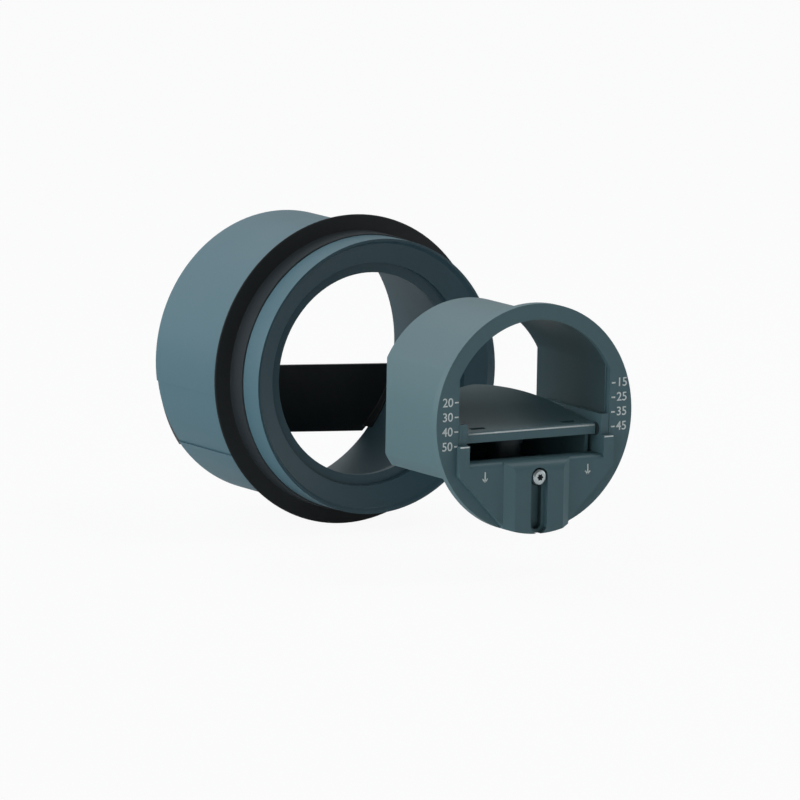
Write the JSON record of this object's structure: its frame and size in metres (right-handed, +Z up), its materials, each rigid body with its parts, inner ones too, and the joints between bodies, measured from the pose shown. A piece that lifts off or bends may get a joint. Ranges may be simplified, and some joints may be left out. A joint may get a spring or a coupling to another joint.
{
  "type": "constant airflow regulator",
  "caption": "Duct airflow regulator: a round module with a flow scale, slider and hinged blade, drawn out of a duct sleeve with a lip seal.",
  "frame": {"origin": "on the duct axis, at the shoulder where the spigot starts behind the lip seal", "axes": "+Y along the duct axis towards the spigot's rear rim, +Z up (the side marked for down faces -Z), +X to the right seen from the module's face"},
  "size_m": [0.1056, 0.1818, 0.1056],
  "materials": {
    "grey_plastic": "moulded grey-blue plastic, fine satin",
    "dark_plastic": "moulded dark grey plastic, matt",
    "black_plastic": "moulded black plastic, matt",
    "seal_rubber": "moulded black rubber",
    "pad_rubber": "soft black rubber",
    "pale_plastic": "turned white bearing plastic",
    "zinc_steel": "bright zinc plated steel"
  },
  "bodies": {
    "sleeve": {"sleeve_body": "grey_plastic", "lip_seal": "seal_rubber", "rear_strap": "black_plastic"},
    "module": {"face_plate": "grey_plastic", "airway_shell": "grey_plastic"},
    "screw": {"clamp_screw": "zinc_steel", "screw_washer": "zinc_steel"},
    "slider": {"slider_plate": "grey_plastic", "carriage": "grey_plastic", "hinge_pin": "zinc_steel", "hinge_bushes": "dark_plastic", "rest_pads": "pad_rubber", "damper_cylinder": "dark_plastic", "damper_cap": "dark_plastic", "return_spring": "zinc_steel"},
    "blade_set": {"blade": "grey_plastic", "drive_yoke": "dark_plastic", "balance_weight": "zinc_steel"},
    "plunger": {"piston": "pale_plastic", "piston_rod": "zinc_steel", "rod_pin": "zinc_steel"}
  },
  "joints": [
    {"name": "module_insert", "type": "slide", "parent": "sleeve", "child": "module", "axis": [0, 1, 0], "range_m": [0, 0.1026]},
    {"name": "screw_turn", "type": "hinge", "parent": "module", "child": "screw", "pos_m": [0, -0.118, -0.0192], "axis": [0, -1, 0], "range_deg": [0, 360]},
    {"name": "slider_set", "type": "slide", "parent": "module", "child": "slider", "axis": [0, 0, 1], "range_m": [0, 0.0145]},
    {"name": "blade_pivot", "type": "hinge", "parent": "slider", "child": "blade_set", "pos_m": [0, -0.1148, -0.0056], "axis": [1, 0, 0], "range_deg": [0, 20], "stiffness_Nm_per_rad": 0.002, "springref_deg": -11.46},
    {"name": "piston_rise", "type": "slide", "parent": "slider", "child": "plunger", "axis": [0, 0, 1], "range_m": [0, 0.0056], "deforming": ["return_spring"]}
  ],
  "couplings": [
    {"joint": "piston_rise", "follows": "blade_pivot", "m_per_rad": 0.0157}
  ]
}
